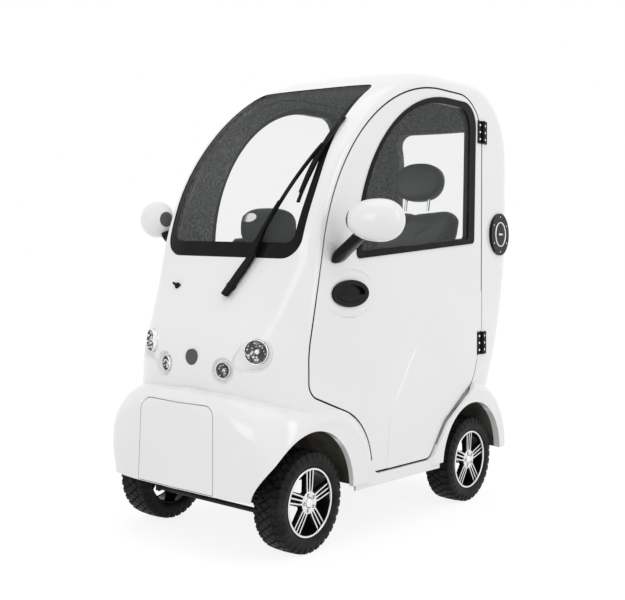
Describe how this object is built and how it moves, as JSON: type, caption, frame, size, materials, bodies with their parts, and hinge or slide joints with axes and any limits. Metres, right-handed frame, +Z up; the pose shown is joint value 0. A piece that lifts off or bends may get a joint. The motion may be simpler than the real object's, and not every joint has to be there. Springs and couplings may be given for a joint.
{
  "type": "enclosed mobility scooter",
  "caption": "Enclosed one-seat mobility scooter with a white cabin, curved screen, rear-hinged doors, tiller steering and spoked wheels.",
  "frame": {"origin": "on the ground plane under the middle of the body's length and width", "axes": "+X towards the vehicle's left side, +Y towards its rear, +Z up; the nose faces -Y"},
  "size_m": [1.1786, 1.6428, 1.6401],
  "materials": {
    "body_white": "high gloss white shell",
    "seal_black": "black rubber",
    "clear_glass": "clear",
    "black_plastic": "satin black",
    "frame_steel": "black powder coat",
    "polished_rim": "machined with black pockets",
    "tyre_black": "black",
    "seat_leather": "charcoal grained",
    "lamp_glass": "clear lens over reflector",
    "tail_red": "red lens",
    "liner_plastic": "dark brown grey",
    "emblem_grey": "plain grey",
    "battery_case": "black",
    "floor_mat": "dark grey"
  },
  "bodies": {
    "chassis": {"cab_shell": "body_white", "lower_body": "body_white", "nose_hatch": "body_white", "windscreen": "clear_glass", "rear_window": "clear_glass", "front_lamps": "lamp_glass", "rear_lamps": "tail_red", "emblem_disc": "emblem_grey", "wiper": "black_plastic", "washer_nozzle": "black_plastic", "round_cap": "black_plastic", "body_hinges": "black_plastic", "wheel_liners": "liner_plastic", "floor_pan": "floor_mat", "chassis_frame": "frame_steel", "front_axle": "frame_steel", "drive_unit": "frame_steel", "seat_plinth": "black_plastic", "battery_pack": "battery_case", "seat_cushion": "seat_leather", "seat_back": "seat_leather", "headrest": "seat_leather"},
    "door_left": {"door_left": "body_white", "door_window_frame_left": "seal_black", "door_glass_left": "clear_glass", "door_handle_left": "black_plastic", "door_hinges_left": "black_plastic", "mirror_left": "body_white"},
    "knuckle_left": {"knuckle_left": "frame_steel"},
    "wheel_front_left": {"tyre_front_left": "tyre_black", "rim_front_left": "polished_rim"},
    "wheel_rear_left": {"tyre_rear_left": "tyre_black", "rim_rear_left": "polished_rim"},
    "door_right": {"door_right": "body_white", "door_window_frame_right": "seal_black", "door_glass_right": "clear_glass", "door_handle_right": "black_plastic", "door_hinges_right": "black_plastic", "mirror_right": "body_white"},
    "knuckle_right": {"knuckle_right": "frame_steel"},
    "wheel_front_right": {"tyre_front_right": "tyre_black", "rim_front_right": "polished_rim"},
    "wheel_rear_right": {"tyre_rear_right": "tyre_black", "rim_rear_right": "polished_rim"},
    "tie_rod": {"tie_rod": "frame_steel"},
    "tiller": {"tiller": "black_plastic", "console_pod": "black_plastic"}
  },
  "joints": [
    {"name": "steer", "type": "hinge", "parent": "chassis", "child": "tiller", "pos_m": [0, -0.6075, 0.212], "axis": [0, 0.3021, 0.9533], "range_deg": [-28, 28]},
    {"name": "steer_left", "type": "hinge", "parent": "chassis", "child": "knuckle_left", "pos_m": [0.232, -0.5675, 0.165], "axis": [0, 0, 1], "range_deg": [-28, 28]},
    {"name": "spin_front_left", "type": "hinge", "parent": "knuckle_left", "child": "wheel_front_left", "pos_m": [0.308, -0.5675, 0.165], "axis": [1, 0, 0], "continuous": true},
    {"name": "spin_rear_left", "type": "hinge", "parent": "chassis", "child": "wheel_rear_left", "pos_m": [0.308, 0.4225, 0.165], "axis": [1, 0, 0], "continuous": true},
    {"name": "door_left", "type": "hinge", "parent": "chassis", "child": "door_left", "pos_m": [0.36552, 0.4845, 0.61621], "axis": [-0.03, 0, 0.9996], "range_deg": [0, 70]},
    {"name": "steer_right", "type": "hinge", "parent": "chassis", "child": "knuckle_right", "pos_m": [-0.232, -0.5675, 0.165], "axis": [0, 0, 1], "range_deg": [-28, 28]},
    {"name": "spin_front_right", "type": "hinge", "parent": "knuckle_right", "child": "wheel_front_right", "pos_m": [-0.308, -0.5675, 0.165], "axis": [1, 0, 0], "continuous": true},
    {"name": "spin_rear_right", "type": "hinge", "parent": "chassis", "child": "wheel_rear_right", "pos_m": [-0.308, 0.4225, 0.165], "axis": [1, 0, 0], "continuous": true},
    {"name": "door_right", "type": "hinge", "parent": "chassis", "child": "door_right", "pos_m": [-0.36552, 0.4845, 0.61621], "axis": [0.03, 0, 0.9996], "range_deg": [-70, 0]},
    {"name": "tie_swing", "type": "hinge", "parent": "knuckle_left", "child": "tie_rod", "pos_m": [0.232, -0.6655, 0.132], "axis": [0, 0, 1], "range_deg": [-28, 28]}
  ],
  "couplings": [
    {"joint": "steer_left", "follows": "steer", "ratio": 1},
    {"joint": "steer_right", "follows": "steer", "ratio": 1},
    {"joint": "tie_swing", "follows": "steer", "ratio": -1}
  ]
}
